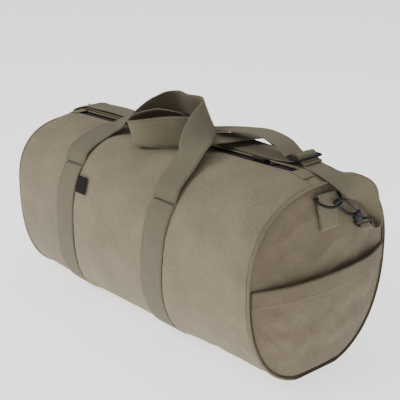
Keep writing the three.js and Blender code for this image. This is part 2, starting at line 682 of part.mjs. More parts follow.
// ---- carrying handles --------------------------------------------------------------------
// First two stations of a handle, lying on the canvas above its band.
function departure(side, front) {
  const at = (rise, out) => {
    const z = BAND_TOP + rise;
    const p = skin(bandX(side, BAND_TOP), angleForHeight(side, z, front), out);
    const across = skin(p.x + BAND_W / 2, angleForHeight(side, z, front), out)
      .sub(skin(p.x - BAND_W / 2, angleForHeight(side, z, front), out));
    return [[p.x, p.y, p.z], [across.x, across.y, across.z]];
  };
  return [at(1.4, GAP + BAND_T / 2 + 1.5), at(17, GAP + BAND_T / 2 + 5.7)];
}

function frontHandle() {
  return ribbon([
    ...departure('right', true),
    [[116, -98, 303], X_ACROSS],
    [[111, -74, 324], [0.97, -0.1, -0.2]],
    [[93, -44, 341], [0.75, 0, -0.65]],
    [[71, -6, 357], [0.3, 0.2, -0.93]],
    [[10, 16, 353], [0.05, 0.45, -0.89]],
    [[-40, 34, 347], [-0.05, 0.4, -0.9]],
    [[-60, 22, 347], [-0.25, 0.5, -0.83]],
    [[-72, 0, 344], [-0.5, 0.6, -0.62]],
    [[-85, -19, 335], [-0.7, 0.6, -0.38]],
    [[-98, -34, 322], [-0.8, 0.5, -0.2]],
    [[-109, -49, 309], [-0.92, 0.3, -0.08]],
    [[-117, -68, 303], [-1, 0.08, 0]],
    ...departure('left', true).reverse().map(([p]) => [p, [-1, 0, 0]]),
  ], BAND_W, BAND_T, 64);
}

function rearHandle() {
  const leftEnd = departure('left', false).reverse().map(([p]) => [p, [-1, 0, 0]]);
  return ribbon([
    ...departure('right', false),
    [[113, 98, 302], [1, 0.02, 0]],
    [[108, 62, 317], [1, 0.05, 0]],
    [[101, 22, 321], [1, 0.05, 0]],
    [[93, -5, 322], [0.98, 0.1, -0.1]],
    [[73, -34, 330], [0.6, 0.15, -0.75]],
    [[48, -61, 333], [0.1, 0.15, -0.98]],
    [[16, -96, 331], [0, 0.4, -0.92]],
    [[-3, -102, 329], [-0.15, 0.42, -0.9]],
    [[-11, -92, 337], [-0.45, 0.55, -0.7]],
    [[-10, -72, 347], [-0.6, 0.6, -0.55]],
    [[2, -50, 352], [-0.6, 0.6, -0.5]],
    [[18, -32, 349], [-0.6, 0.6, -0.45]],
    [[23, -12, 340], [-0.75, 0.5, -0.3]],
    [[6, 10, 328], [-0.95, 0, -0.05]],
    [[-14, 40, 325], [-0.7, -0.7, 0]],
    [[-62, 72, 314], [-0.75, -0.6, 0.05]],
    [[-104, 98, 299], [-0.95, -0.3, 0]],
    ...leftEnd,
  ], BAND_W, BAND_T, 96);
}

// ---- assembly -----------------------------------------------------------------------------
const duffel = new THREE.Group();
duffel.name = 'duffel_bag';

function add(name, geometry, material) {
  const mesh = new THREE.Mesh(geometry, material);
  mesh.name = name;
  duffel.add(mesh);
}

add('body_wrap', bodyWrap(), canvasMat);
add('end_panel_near', endPanel(1, NEAR_DOME), panelMat);
add('end_panel_far', endPanel(-1, FAR_DOME), panelMat);
add('seam_binding_near', seamBinding(1), canvasMat);
add('seam_binding_far', seamBinding(-1), canvasMat);
add('end_pocket', endPocket(), panelMat);
add('pocket_hem', pocketHem(), panelMat);
add('webbing_band_left', webbingBand('left'), webbingMat);
add('webbing_band_right', webbingBand('right'), webbingMat);
add('side_label', sideLabel(), labelMat);
add('zipper_tape_front', zipperTape(-1), zipMat);
add('zipper_tape_rear', zipperTape(1), zipMat);
add('zipper_teeth_front', zipperTeeth(-1), zipMat);
add('zipper_teeth_rear', zipperTeeth(1), zipMat);
add('zipper_stop_far', zipperStop(-260, -256.6), metalMat);
add('zipper_stop_near', zipperStop(261.6, 265), metalMat);
add('zipper_end_tab_far', zipperEndTab(-1), canvasMat);
add('zipper_end_tab_near', zipperEndTab(1), canvasMat);
add('zipper_slider', zipperSlider(), metalMat);
add('zipper_pull', zipperPull(), metalMat);
for (const [label, e] of Object.entries(ENDS)) {
  add(`ring_tab_${label}`, ringTab(e), webbingMat);
  add(`d_ring_${label}`, dRing(e), metalMat);
  add(`hook_eye_${label}`, hookEye(e), metalMat);
  add(`hook_body_${label}`, hookBody(e), metalMat);
  add(`hook_gate_${label}`, hookGate(e), metalMat);
}
add('strap_run', strapRun(), webbingMat);
add('strap_return', strapReturn(), webbingMat);
add('adjuster_frame', adjusterFrame(), metalMat);
add('front_handle', frontHandle(), webbingMat);
add('rear_handle', rearHandle(), webbingMat);

export default duffel;
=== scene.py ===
"""Canvas barrel duffel bag: cloth, webbing, zipper and hardware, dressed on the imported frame."""

import logging
import math
from collections.abc import Callable, Sequence
from dataclasses import dataclass, field
from enum import Enum

import bmesh
import bpy
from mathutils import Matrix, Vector, noise


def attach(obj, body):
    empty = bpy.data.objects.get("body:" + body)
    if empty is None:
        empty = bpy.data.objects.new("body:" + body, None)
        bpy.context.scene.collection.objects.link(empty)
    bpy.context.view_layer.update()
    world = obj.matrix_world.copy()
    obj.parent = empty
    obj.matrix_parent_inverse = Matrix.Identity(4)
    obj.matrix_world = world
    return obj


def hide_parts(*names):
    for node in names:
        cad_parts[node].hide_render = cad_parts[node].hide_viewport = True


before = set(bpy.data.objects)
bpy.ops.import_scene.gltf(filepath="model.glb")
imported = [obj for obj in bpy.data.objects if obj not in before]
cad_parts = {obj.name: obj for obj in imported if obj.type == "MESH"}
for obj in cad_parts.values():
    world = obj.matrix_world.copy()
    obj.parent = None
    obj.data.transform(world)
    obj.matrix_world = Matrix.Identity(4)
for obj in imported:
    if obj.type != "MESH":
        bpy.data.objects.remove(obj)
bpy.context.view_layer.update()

log = logging.getLogger("duffel")
MM = 0.001
STITCH_PITCH = 3.4
BAND_END_DROP = 3.2
Station = tuple[Sequence[float], Sequence[float], float]


class Side(Enum):
    """Which end of the barrel."""

    NEAR = 1
    FAR = -1


def clamp(value: float, low: float, high: float) -> float:
    """Return value held between low and high."""
    return max(low, min(high, value))


def mix(a: float, b: float, t: float) -> float:
    """Return the blend of a and b at t."""
    return a + (b - a) * t


def smooth(t: float) -> float:
    """Return an eased 0 to 1 step."""
    c = clamp(t, 0.0, 1.0)
    return c * c * (3 - 2 * c)


@dataclass(frozen=True)
class Outline:
    """The soft outline of the barrel, in millimetres."""

    half_length: float = 305.0
    near: tuple[float, float, float, float] = (148.6, 170.5, 129.8, 2.32)
    far: tuple[float, float, float, float] = (122.0, 172.0, 109.5, 2.6)
    swell: float = 0.08
    sag: float = 4.0
    zip_y: float = -10.0
    zip_rise: float = 0.027
    zip_height: float = 304.0
    zip_falloff: float = 75.0
    zip_flat: float = 24.0
    zip_fade: tuple[float, float] = (272.0, 305.0)
    slot: tuple[float, float] = (-262.0, 268.0)
    slot_half: float = 9.0
    band_x: tuple[float, float] = (-128.0, 116.0)
    band_lean: float = 0.15
    band_top: float = 256.0

    def section(self, x: float) -> tuple[float, float, float, float]:
        """Return half width, depth below and above the widest line, and squareness at x."""
        w = clamp((x + self.half_length) / (2 * self.half_length), 0, 1)
        full = 1 + self.swell * 4 * w * (1 - w)
        a, b, c, d = (mix(f, n, w) for f, n in zip(self.far, self.near))
        return a * full, b * full, c * full, d

    def track(self, x: float) -> float:
        """Return the height of the zipper track at x."""
        return self.zip_height + self.zip_rise * x

    def crown(self, x: float, y: float) -> float:
        """Return the height of the plain outline's top at x, y."""
        half, below, above, sq = self.section(x)
        return below + above * max(0.0, 1 - (abs(y) / half) ** sq) ** (1 / sq)

    def crown_shift(self, x: float, y: float) -> float:
        """Return how far the crown is drawn to the straight track at x, y."""
        near = smooth((self.zip_falloff - abs(y - self.zip_y)) / (self.zip_falloff - self.zip_flat))
        along = smooth((self.zip_fade[1] - abs(x)) / (self.zip_fade[1] - self.zip_fade[0]))
        return near * along * (self.track(x) - self.crown(x, self.zip_y))

    def angle_at(self, x: float, y: float) -> float:
        """Return the angle from the crown towards the front of the upper point at y."""
        half, below, above, _ = self.section(x)
        return math.atan2(-y / half, (self.crown(x, y) - below) / above)

    def skin(self, x: float, angle: float, out: float = 0.0, floor: float = 0.0) -> Vector:
        """Return a point of the outline, in millimetres.

        Args:
            x: place along the barrel.
            angle: from the crown towards the front.
            out: distance outwards from the surface.
            floor: the lowest height allowed.

        Returns:
            The point.
        """
        half, below, above, sq = self.section(x)
        sn, cs = math.sin(angle), math.cos(angle)
        k = (abs(sn) ** sq + abs(cs) ** sq) ** (-1 / sq)
        rise = above if cs > 0 else below + self.sag
        y, z = -half * k * sn, below + rise * k * cs
        ny = -math.copysign(abs(k * sn) ** (sq - 1), sn) / half
        nz = math.copysign(abs(k * cs) ** (sq - 1), cs) / rise
        size = math.hypot(ny, nz) or 1.0
        shift = self.crown_shift(x, y) if cs > 0 else 0.0
        return Vector((x, y + ny / size * out, max(z + nz / size * out + shift, floor)))

    def band_centre(self, index: int, z: float) -> float:
        """Return the middle of a webbing band at height z; index 0 is the left band."""
        return self.band_x[index] + self.band_lean * (z - self.band_top)

    def angle_for_height(self, index: int, z: float, front: bool) -> float:
        """Return the angle at which a band's middle has height z."""
        low, high = 0.0, math.pi / 2 + 0.4
        x = self.band_centre(index, z)
        for _ in range(40):
            m = (low + high) / 2
            low, high = (m, high) if self.skin(x, m).z > z else (low, m)
        return low if front else 2 * math.pi - low

    def dome(self, side: Side, radius: float, angle: float, depth: float, rim: float) -> Vector:
        """Return a point of an end's dome; radius runs from 0 at its middle to 1 at its rim."""
        end = side.value
        x = end * (self.half_length - 1)
        below = self.section(x)[1]
        edge = self.skin(x, angle, -rim, rim)
        bulge = depth * max(0.0, 1 - radius * radius) ** 0.85
        return Vector((x + end * bulge, edge.y * radius, below + (edge.z - below) * radius))


OUTLINE = Outline()


# ---- mesh helpers ---------------------------------------------------------------------
def mapped_grid(
    name: str,
    cells: tuple[int, int],
    place: Callable[[float, float], Vector],
    uv_size: tuple[float, float],
    wrap: bool = False,
    keep: Callable[[Vector], bool] | None = None,
) -> bpy.types.Object:
    """Lay a grid over a surface.

    Args:
        name: object name.
        cells: cells along u and v.
        place: gives a point in millimetres from u and v, each 0 to 1.
        uv_size: the surface's size in millimetres along u and v.
        wrap: whether v closes on itself.
        keep: tells which faces stay, from a face's middle in millimetres.

    Returns:
        The new object, in metres.
    """
    bm = bmesh.new()
    bm.loops.layers.uv.new("cloth")
    bmesh.ops.create_grid(bm, x_segments=cells[0], y_segments=cells[1], size=0.5, calc_uvs=True)
    uv = bm.loops.layers.uv.verify()
    for face in bm.faces:
        for loop in face.loops:
            co = loop.vert.co
            loop[uv].uv = ((co.x + 0.5) * uv_size[0] * MM, (co.y + 0.5) * uv_size[1] * MM)
    for vert in bm.verts:
        vert.co = place(vert.co.x + 0.5, vert.co.y + 0.5) * MM
    if wrap:
        bmesh.ops.remove_doubles(bm, verts=bm.verts, dist=1e-6)
    if keep:
        gone = [f for f in bm.faces if not keep(f.calc_center_median() / MM)]
        bmesh.ops.delete(bm, geom=gone, context="FACES")
    for face in bm.faces:
        face.smooth = True
    mesh = bpy.data.meshes.new(name)
    bm.to_mesh(mesh)
    bm.free()
    obj = bpy.data.objects.new(name, mesh)
    bpy.context.scene.collection.objects.link(obj)
    return obj


def thicken(obj: bpy.types.Object, thickness: float, offset: float = -1.0) -> None:
    """Give a cloth its thickness in millimetres; offset -1 grows inwards, 1 outwards."""
    wall = obj.modifiers.new("Thickness", "SOLIDIFY")
    wall.thickness = thickness * MM
    wall.offset = offset
    wall.use_even_offset = False


def flip(obj: bpy.types.Object) -> None:
    """Turn every face of a piece round."""
    obj.data.flip_normals()


class Spline:
    """A Catmull-Rom curve, centripetal unless it is uniform."""

    def __init__(self, points: Sequence[Sequence[float]], uniform: bool = False) -> None:
        """Keep the points, with one more beyond each end."""
        pts = [Vector(p) for p in points]
        self.uniform = uniform
        self.points = [2 * pts[0] - pts[1], *pts, 2 * pts[-1] - pts[-2]]
        self.spans = len(pts) - 1

    def _coefficients(self, t: float) -> tuple[list[Vector], float]:
        """Return the cubic's four vectors for the span at t, and the place in it."""
        f = clamp(t, 0, 1) * self.spans
        k = min(int(f), self.spans - 1)
        a, b, c, d = self.points[k:k + 4]
        if self.uniform:
            m1, m2 = (c - a) / 2, (d - b) / 2
            return [b, m1, -3 * b + 3 * c - 2 * m1 - m2, 2 * b - 2 * c + m1 + m2], f - k
        d1 = (c - b).length ** 0.5 or 1.0
        d0 = (b - a).length ** 0.5 or d1
        d2 = (d - c).length ** 0.5 or d1
        m1 = ((b - a) / d0 - (c - a) / (d0 + d1) + (c - b) / d1) * d1
        m2 = ((c - b) / d1 - (d - b) / (d1 + d2) + (d - c) / d2) * d1
        return [b, m1, -3 * b + 3 * c - 2 * m1 - m2, 2 * b - 2 * c + m1 + m2], f - k

    def point(self, t: float) -> Vector:
        """Return the point at t."""
        (a, b, c, d), s = self._coefficients(t)
        return a + b * s + c * s * s + d * s ** 3

    def tangent(self, t: float) -> Vector:
        """Return the unit direction at t."""
        e = 1e-4
        return (self.point(t + e) - self.point(t - e)).normalized()

    def length(self) -> float:
        """Return the curve's length in millimetres."""
        pts = [self.point(i / 200) for i in range(201)]
        return sum((b - a).length for a, b in zip(pts, pts[1:]))


def webbing(
    name: str, stations: Sequence[Station], width: float, thick: float, steps: int, crown: float = 0.0
) -> bpy.types.Object:
    """Make a flat woven strip through stations of centre, width direction and width factor.

    Args:
        name: object name.
        stations: the strip's course, in millimetres.
        width: strip width.
        thick: strip thickness.
        steps: cells along the strip.
        crown: how far the strip's middle stands out of its edges.

    Returns:
        The strip.
    """
    curve = Spline([s[0] for s in stations])
    across = Spline([Vector(s[1]).normalized() for s in stations], uniform=True)
    factor = [s[2] for s in stations]
    last = len(stations) - 1

    def place(u: float, v: float) -> Vector:
        t = u
        tangent = curve.tangent(t)
        f = t * last
        k = min(int(f), last - 1)
        e = smooth(f - k)
        w = across.point(t)
        w = (w - tangent * w.dot(tangent)).normalized()
        half = width / 2 * mix(factor[k], factor[k + 1], e)
        c = 2 * v - 1
        n = tangent.cross(w)
        return curve.point(t) + w * half * c + n * crown * (1 - c * c)

    obj = mapped_grid(name, (steps, 8), place, (curve.length(), width))
    thicken(obj, thick, 0.0)
    return obj


def plain(points: Sequence[Sequence]) -> list[Station]:
    """Return stations with a width factor filled in."""
    return [(s[0], s[1], s[2] if len(s) > 2 else 1.0) for s in points]


# ---- finishes -------------------------------------------------------------------------
class Nodes:
    """Small builder for a material's node tree."""

    def __init__(self, name: str) -> None:
        """Start an empty material with one surface shader."""
        self.material = bpy.data.materials.new(name)
        self.material.use_nodes = True
        self.tree = self.material.node_tree
        self.shader = self.tree.nodes["Principled BSDF"]

    def add(self, kind: str, **values: object) -> bpy.types.Node:
        """Add a node and set its properties or inputs by name."""
        node = self.tree.nodes.new(kind)
        for key, value in values.items():
            if hasattr(node, key):
                setattr(node, key, value)
            else:
                node.inputs[key.replace("_", " ")].default_value = value
        return node

    def link(self, source: bpy.types.NodeSocket, target: bpy.types.NodeSocket) -> None:
        """Join two sockets."""
        self.tree.links.new(source, target)

    def math(self, operation: str, a: object, b: object = 0.0) -> bpy.types.NodeSocket:
        """Return the result of a math node on sockets or numbers."""
        node = self.tree.nodes.new("ShaderNodeMath")
        node.operation = operation
        for socket, value in zip(node.inputs, (a, b)):
            if isinstance(value, bpy.types.NodeSocket):
                self.link(value, socket)
            else:
                socket.default_value = float(value)
        return node.outputs[0]

    def ramp(self, factor: bpy.types.NodeSocket, low: Sequence[float], high: Sequence[float],
             stops: tuple[float, float] = (0.3, 0.7)) -> bpy.types.NodeSocket:
        """Return a colour between low and high by a factor."""
        node = self.tree.nodes.new("ShaderNodeValToRGB")
        node.color_ramp.elements[0].position, node.color_ramp.elements[1].position = stops
        node.color_ramp.elements[0].color = (*low, 1)
        node.color_ramp.elements[1].color = (*high, 1)
        self.link(factor, node.inputs[0])
        return node.outputs[0]


@dataclass(frozen=True)
class Cloth:
    """A woven cotton cloth."""

    name: str
    color: tuple[float, float, float]
    thread: float = 0.55      # thread pitch in millimetres
    mottle: float = 0.13
    relief: float = 0.25
    rib: float = 0.0          # rib pitch across a webbing, 0 for plain weave
    stitch_from_edge: float = 0.0
    width: float = 0.0
    roughness: float = 0.93
    sheen: float = 0.08

    def make(self) -> bpy.types.Material:
        """Return the material."""
        n = Nodes(self.name)
        n.shader.inputs["Roughness"].default_value = self.roughness
        n.shader.inputs["Specular IOR Level"].default_value = 0.18
        n.shader.inputs["Sheen Weight"].default_value = self.sheen
        n.shader.inputs["Sheen Roughness"].default_value = 0.6
        coords = n.add("ShaderNodeTexCoord")
        split = n.add("ShaderNodeSeparateXYZ")
        n.link(coords.outputs["UV"], split.inputs[0])
        u, v = split.outputs[0], split.outputs[1]
        turn = 2 * math.pi / (self.thread * MM)
        warp = n.math("SINE", n.math("MULTIPLY", u, turn))
        weft = n.math("SINE", n.math("MULTIPLY", v, turn))
        weave = n.math("MULTIPLY", warp, weft)
        blotch = n.add("ShaderNodeTexNoise", Scale=14.0, Detail=5.0, Roughness=0.6)
        n.link(coords.outputs["Object"], blotch.inputs["Vector"])
        slub = n.add("ShaderNodeTexNoise", Scale=420.0, Detail=3.0, Roughness=0.7)
        n.link(coords.outputs["Object"], slub.inputs["Vector"])
        threads = []
        for along, across in ((90.0, 620.0), (620.0, 90.0)):
            stretch = n.add("ShaderNodeMapping")
            stretch.inputs["Scale"].default_value = (along, across, 1.0)
            n.link(coords.outputs["UV"], stretch.inputs["Vector"])
            thread = n.add("ShaderNodeTexNoise", Scale=1.0, Detail=2.0, Roughness=0.6)
            n.link(stretch.outputs[0], thread.inputs["Vector"])
            threads.append(thread.outputs[0])
        crossed = n.math("MULTIPLY", n.math("ADD", *threads), 0.5)
        fine = n.math("ADD", n.math("MULTIPLY", slub.outputs[0], 0.4), n.math("MULTIPLY", crossed, 0.6))
        tone = n.math("ADD", n.math("MULTIPLY", blotch.outputs[0], 0.35), n.math("MULTIPLY", fine, 0.65))
        low = tuple(c * (1 - self.mottle) for c in self.color)
        high = tuple(c * (1 + self.mottle) for c in self.color)
        color = n.ramp(tone, low, high, (0.38, 0.62))
        height = n.math("ADD", n.math("MULTIPLY", weave, 0.35), slub.outputs[0])
        if self.rib:
            slant = n.math("ADD", n.math("MULTIPLY", u, 0.55), v)
            ribs = n.math("SINE", n.math("MULTIPLY", slant, 2 * math.pi / (self.rib * MM)))
            height = n.math("ADD", height, n.math("MULTIPLY", ribs, 0.9))
            # Painted shade: the rib troughs are darkened to 0.72 of the cloth colour, following the same ribs
            # that give the bump.
            rib_trough_shade = n.add("ShaderNodeMix", data_type="RGBA")
            n.link(n.math("MULTIPLY", n.math("ADD", ribs, 1.0), 0.5), rib_trough_shade.inputs[0])
            n.link(color, rib_trough_shade.inputs["B"])
            rib_trough_shade.inputs["A"].default_value = (*(c * 0.72 for c in self.color), 1)
            color = rib_trough_shade.outputs["Result"]
        if self.stitch_from_edge:
            edge = n.math("MINIMUM", v, n.math("SUBTRACT", self.width * MM, v))
            near = n.math("ABSOLUTE", n.math("SUBTRACT", edge, self.stitch_from_edge * MM))
            row = n.math("LESS_THAN", near, 0.5 * MM)
            beat = n.math("SINE", n.math("MULTIPLY", u, 2 * math.pi / (STITCH_PITCH * MM)))
            dash = n.math("GREATER_THAN", beat, -0.45)
            stitch = n.math("MULTIPLY", row, dash)
            blend = n.add("ShaderNodeMix", data_type="RGBA")
            n.link(stitch, blend.inputs[0])
            n.link(color, blend.inputs["A"])
            blend.inputs["B"].default_value = (*(c * 0.72 for c in self.color), 1)
            color = blend.outputs["Result"]
            height = n.math("SUBTRACT", height, n.math("MULTIPLY", row, 1.2))
            height = n.math("ADD", height, n.math("MULTIPLY", stitch, 1.6))
        bump = n.add("ShaderNodeBump", Strength=self.relief, Distance=0.0006)
        n.link(height, bump.inputs["Height"])
        n.link(bump.outputs[0], n.shader.inputs["Normal"])
        n.link(color, n.shader.inputs["Base Color"])
        return n.material


@dataclass(frozen=True)
class Metal:
    """Blackened, lightly worn metal."""

    name: str
    color: tuple[float, float, float]
    roughness: float = 0.38
    metallic: float = 0.75

    def make(self) -> bpy.types.Material:
        """Return the material."""
        n = Nodes(self.name)
        n.shader.inputs["Metallic"].default_value = self.metallic
        coords = n.add("ShaderNodeTexCoord")
        grain = n.add("ShaderNodeTexNoise", Scale=260.0, Detail=4.0, Roughness=0.6)
        n.link(coords.outputs["Object"], grain.inputs["Vector"])
        worn = tuple(c * 2.2 for c in self.color)
        n.link(n.ramp(grain.outputs[0], self.color, worn), n.shader.inputs["Base Color"])
        rough = n.math("ADD", n.math("MULTIPLY", grain.outputs[0], 0.22), self.roughness - 0.1)
        n.link(rough, n.shader.inputs["Roughness"])
        bump = n.add("ShaderNodeBump", Strength=0.12, Distance=0.0003)
        n.link(grain.outputs[0], bump.inputs["Height"])
        n.link(bump.outputs[0], n.shader.inputs["Normal"])
        return n.material


@dataclass
class Finishes:
    """Every finish of the bag."""

    canvas: bpy.types.Material = field(init=False)
    panel: bpy.types.Material = field(init=False)
    hem: bpy.types.Material = field(init=False)
    binding: bpy.types.Material = field(init=False)
    band: bpy.types.Material = field(init=False)
    strap: bpy.types.Material = field(init=False)
    tape: bpy.types.Material = field(init=False)
    label: bpy.types.Material = field(init=False)
    coil: bpy.types.Material = field(init=False)
    metal: bpy.types.Material = field(init=False)

    def __post_init__(self) -> None:
        """Make each material once."""
        self.canvas = Cloth("canvas_cloth", (0.222, 0.186, 0.122), mottle=0.24).make()
        # The panel cloth is the canvas made darker: painted shade on the end panels and the end pocket.
        self.panel = Cloth("panel_cloth", (0.176, 0.140, 0.092), mottle=0.26).make()
        self.hem = Cloth("hem_cloth", (0.160, 0.127, 0.083), mottle=0.26, stitch_from_edge=2.2,
                         width=26.0).make()
        self.binding = Cloth("binding_cloth", (0.196, 0.162, 0.107), thread=0.7, mottle=0.2).make()
        self.band = Cloth("handle_webbing", (0.188, 0.164, 0.108), thread=1.1, rib=3.6, relief=0.5,
                          mottle=0.16, stitch_from_edge=3.5, width=50.0).make()
        self.strap = Cloth("strap_webbing", (0.215, 0.187, 0.122), thread=1.1, rib=3.4, relief=0.5,
                           mottle=0.16).make()
        self.tape = Cloth("zipper_tape", (0.038, 0.027, 0.023), thread=0.6, relief=0.3, sheen=0.0).make()
        self.label = Cloth("woven_label", (0.016, 0.013, 0.012), thread=0.5, stitch_from_edge=1.5,
                           width=27.0, sheen=0.0).make()
        self.coil = Metal("moulded_coil", (0.030, 0.022, 0.024), 0.5, 0.0).make()
        self.metal = Metal("black_metal", (0.014, 0.014, 0.016)).make()


def finish_piece(
    obj: bpy.types.Object, material: bpy.types.Material, slot: str, body: str, *nodes: str
) -> None:
    """Dress a piece, put it on its body and let it stand for its CAD nodes.

    Args:
        obj: the piece.
        material: its finish.
        slot: a finish slot name; not used.
        body: the body that it moves with.
        nodes: the CAD nodes that it replaces.
    """
    obj.data.materials.append(material)
    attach(obj, body)
    if nodes:
        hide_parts(*nodes)
    log.info("made %s", obj.name)


# ---- cloth parts ------------------------------------------------------------------------
@dataclass
class Barrel:
    """The wrap of canvas between the ends, open along the zipper."""

    cells: tuple[int, int] = (176, 190)
    thickness: float = 1.6
    band_half: float = 25.0

    def relief(self, x: float, angle: float, point: Vector) -> float:
        """Return the cloth's gentle unevenness in millimetres."""
        end = smooth((abs(x) - 235) / 70)
        slow = noise.noise(Vector((x / 120, point.y / 90, point.z / 90))) * 1.8
        seam = smooth((OUTLINE.half_length - abs(x)) / 22)
        pucker = noise.noise(Vector((x / 55, angle * 9.0, 3.7))) * 3.2 * end * seam
        crease = noise.noise(Vector((x / 26 + angle * 2.2, angle * 5.0, 9.1)))
        low = smooth((120 - point.z) / 80) * smooth((x - 120) / 120)
        swell = 0.0
        for index in (0, 1):
            d = x - OUTLINE.band_centre(index, point.z)
            if abs(d) < self.band_half + 40:
                over = d - self.band_half
                if over > 0:
                    swell += 3.4 * smooth(over / 3) * smooth((40 - over) / 40)
                elif d < -self.band_half:
                    swell += 0.9 * smooth((-d - self.band_half) / 8) * smooth((40 + d + self.band_half) / 40)
        side = smooth((235 - point.z) / 60) * smooth(point.z / 40)
        rise = (slow + swell) * side + pucker - abs(crease) * 6.0 * low * seam
        return rise * smooth(point.z / 12)

    def place(self, u: float, v: float) -> Vector:
        """Return a point of the wrap from grid coordinates."""
        x = mix(-OUTLINE.half_length, OUTLINE.half_length, u)
        columns = self.cells[1]
        front = OUTLINE.angle_at(x, OUTLINE.zip_y - OUTLINE.slot_half)
        rear = 2 * math.pi + OUTLINE.angle_at(x, OUTLINE.zip_y + OUTLINE.slot_half)
        j = v * columns
        if j <= columns - 1:
            angle = mix(front, rear, j / (columns - 1))
        else:
            angle = mix(rear, front + 2 * math.pi, j - (columns - 1))
        base = OUTLINE.skin(x, angle)
        rise = self.relief(x, angle, base)
        return OUTLINE.skin(x, angle, rise, self.underside(x))

    def underside(self, x: float) -> float:
        """Return how high the canvas lies over the floor, as the bands lift it."""
        lift = 0.0
        for index in (0, 1):
            d = abs(x - OUTLINE.band_centre(index, 0)) - self.band_half - 1
            lift = max(lift, clamp(1 - d / 6, 0, 1))
        return lift * 2.25

    def build(self, finishes: Finishes) -> None:
        """Make the wrap."""
        def keep(c: Vector) -> bool:
            in_slot = OUTLINE.slot[0] < c.x < OUTLINE.slot[1]
            return not (in_slot and c.z > 250 and abs(c.y - OUTLINE.zip_y) < OUTLINE.slot_half - 0.6)

        wrap = mapped_grid("canvas_wrap", self.cells, self.place, (610, 930), wrap=True, keep=keep)
        flip(wrap)
        thicken(wrap, self.thickness)
        finish_piece(wrap, finishes.canvas, "canvas", "bag", "body_wrap")


@dataclass
class BarrelEnds:
    """The domed end panels with their welts."""

    depths: dict[Side, float] = field(default_factory=lambda: {Side.NEAR: 24.0, Side.FAR: 18.0})
    rim: float = 2.95
    thickness: float = 1.6

    def panel(self, side: Side, finishes: Finishes) -> None:
        """Make one end panel."""
        depth = self.depths[side]

        def place(u: float, v: float) -> Vector:
            radius = clamp(u, 0.0, 1.0)
            angle = v * 2 * math.pi
            p = OUTLINE.dome(side, radius, angle, depth, self.rim)
            fold = noise.noise(Vector((p.y / 60, p.z / 42, 5.0 * side.value)))
            gather = noise.noise(Vector((angle * 7, radius * 2, 1.5))) * smooth((radius - 0.6) / 0.4)
            p.x -= side.value * (abs(fold) * 6.5 + gather * 2.4) * smooth((1 - radius) * 5) * 0.8
            return p

        name = "end_cloth_" + side.name.lower()
        obj = mapped_grid(name, (72, 150), place, (150, 930), wrap=True)
        if side is Side.FAR:
            flip(obj)
        thicken(obj, self.thickness)
        finish_piece(obj, finishes.panel, "panel", "bag", "end_panel_" + side.name.lower())

    def welt(self, side: Side, finishes: Finishes) -> None:
        """Make the turned edge round an end seam."""
        lip = Spline([
            (0.3, -3.2, 0), (0.5, 0.2, 0), (1.6, 1.3, 0), (3.4, 1.0, 0), (4.4, -0.6, 0), (4.2, -1.8, 0),
        ])

        def place(u: float, v: float) -> Vector:
            c = lip.point(u)
            floor = max(0.0, 0.2 - c.y * 0.2)
            p = OUTLINE.skin(side.value * OUTLINE.half_length, v * 2 * math.pi, c.y, floor)
            p.x = side.value * (OUTLINE.half_length + c.x)
            return p

        obj = mapped_grid("welt_" + side.name.lower(), (12, 220), place, (9, 930), wrap=True)
        if side is Side.NEAR:
            flip(obj)
        thicken(obj, 0.9)
        finish_piece(obj, finishes.binding, "canvas", "bag", "seam_binding_" + side.name.lower())

    def build(self, finishes: Finishes) -> None:
        """Make both ends."""
        for side in Side:
            self.panel(side, finishes)
            self.welt(side, finishes)


@dataclass
class EndPocket:
    """The slip pocket over the lower part of the near end."""

    hem_height: float = 172.0
    hem_depth: float = 26.0
    standoff: float = 5.5
    rim: float = 6.45
    dome: float = 24.0

    def point(self, u: float, z: float, off: float, reach_scale: float = 1.0) -> Vector:
        """Return a point off the near dome at height z; u runs across, -1 to 1."""
        half, below, _, sq = OUTLINE.section(OUTLINE.half_length)
        half -= self.rim
        drop = min(1.0, (below - z) / (below + OUTLINE.sag - self.rim))
        y = u * half * max(0.0, 1 - abs(drop) ** sq) ** (1 / sq) * reach_scale
        r = min(1.0, ((abs(y) / half) ** sq + abs(drop) ** sq) ** (1 / sq))
        bulge = self.dome * (1 - r * r) ** 0.85
        return Vector((OUTLINE.half_length - 1 + bulge + off + self.standoff * smooth((1 - r) * 2.2), y, z))

    def build(self, finishes: Finishes) -> None:
        """Make the pocket and its hem."""
        def front(u: float, v: float) -> Vector:
            z = mix(9, self.hem_height, v ** 0.8)
            p = self.point(2 * u - 1, z, 2.55)
            fold = noise.noise(Vector((p.y / 46, p.z / 30, 7.0)))
            inside = smooth((1 - abs(2 * u - 1)) * 4) * smooth(v * 5) * smooth((1 - v) * 3)
            crease = abs(noise.noise(Vector((p.y / 22 + p.z / 30, p.z / 55, 2.0))))
            p.x += (fold * 3.0 + crease * 2.5) * inside
            return p

        def hem(u: float, v: float) -> Vector:
            z = mix(self.hem_height - self.hem_depth, self.hem_height, v)
            return self.point(2 * u - 1, z, 4.45)

        pocket = mapped_grid("pocket_cloth", (110, 70), front, (285, 170))
        thicken(pocket, 1.6, 1.0)
        # The pocket takes the panel cloth, with its painted shade.
        finish_piece(pocket, finishes.panel, "panel", "bag", "end_pocket")
        edge = mapped_grid("pocket_edge", (110, 12), hem, (285, self.hem_depth))
        thicken(edge, 1.4, 1.0)
        finish_piece(edge, finishes.hem, "panel", "bag", "pocket_hem")


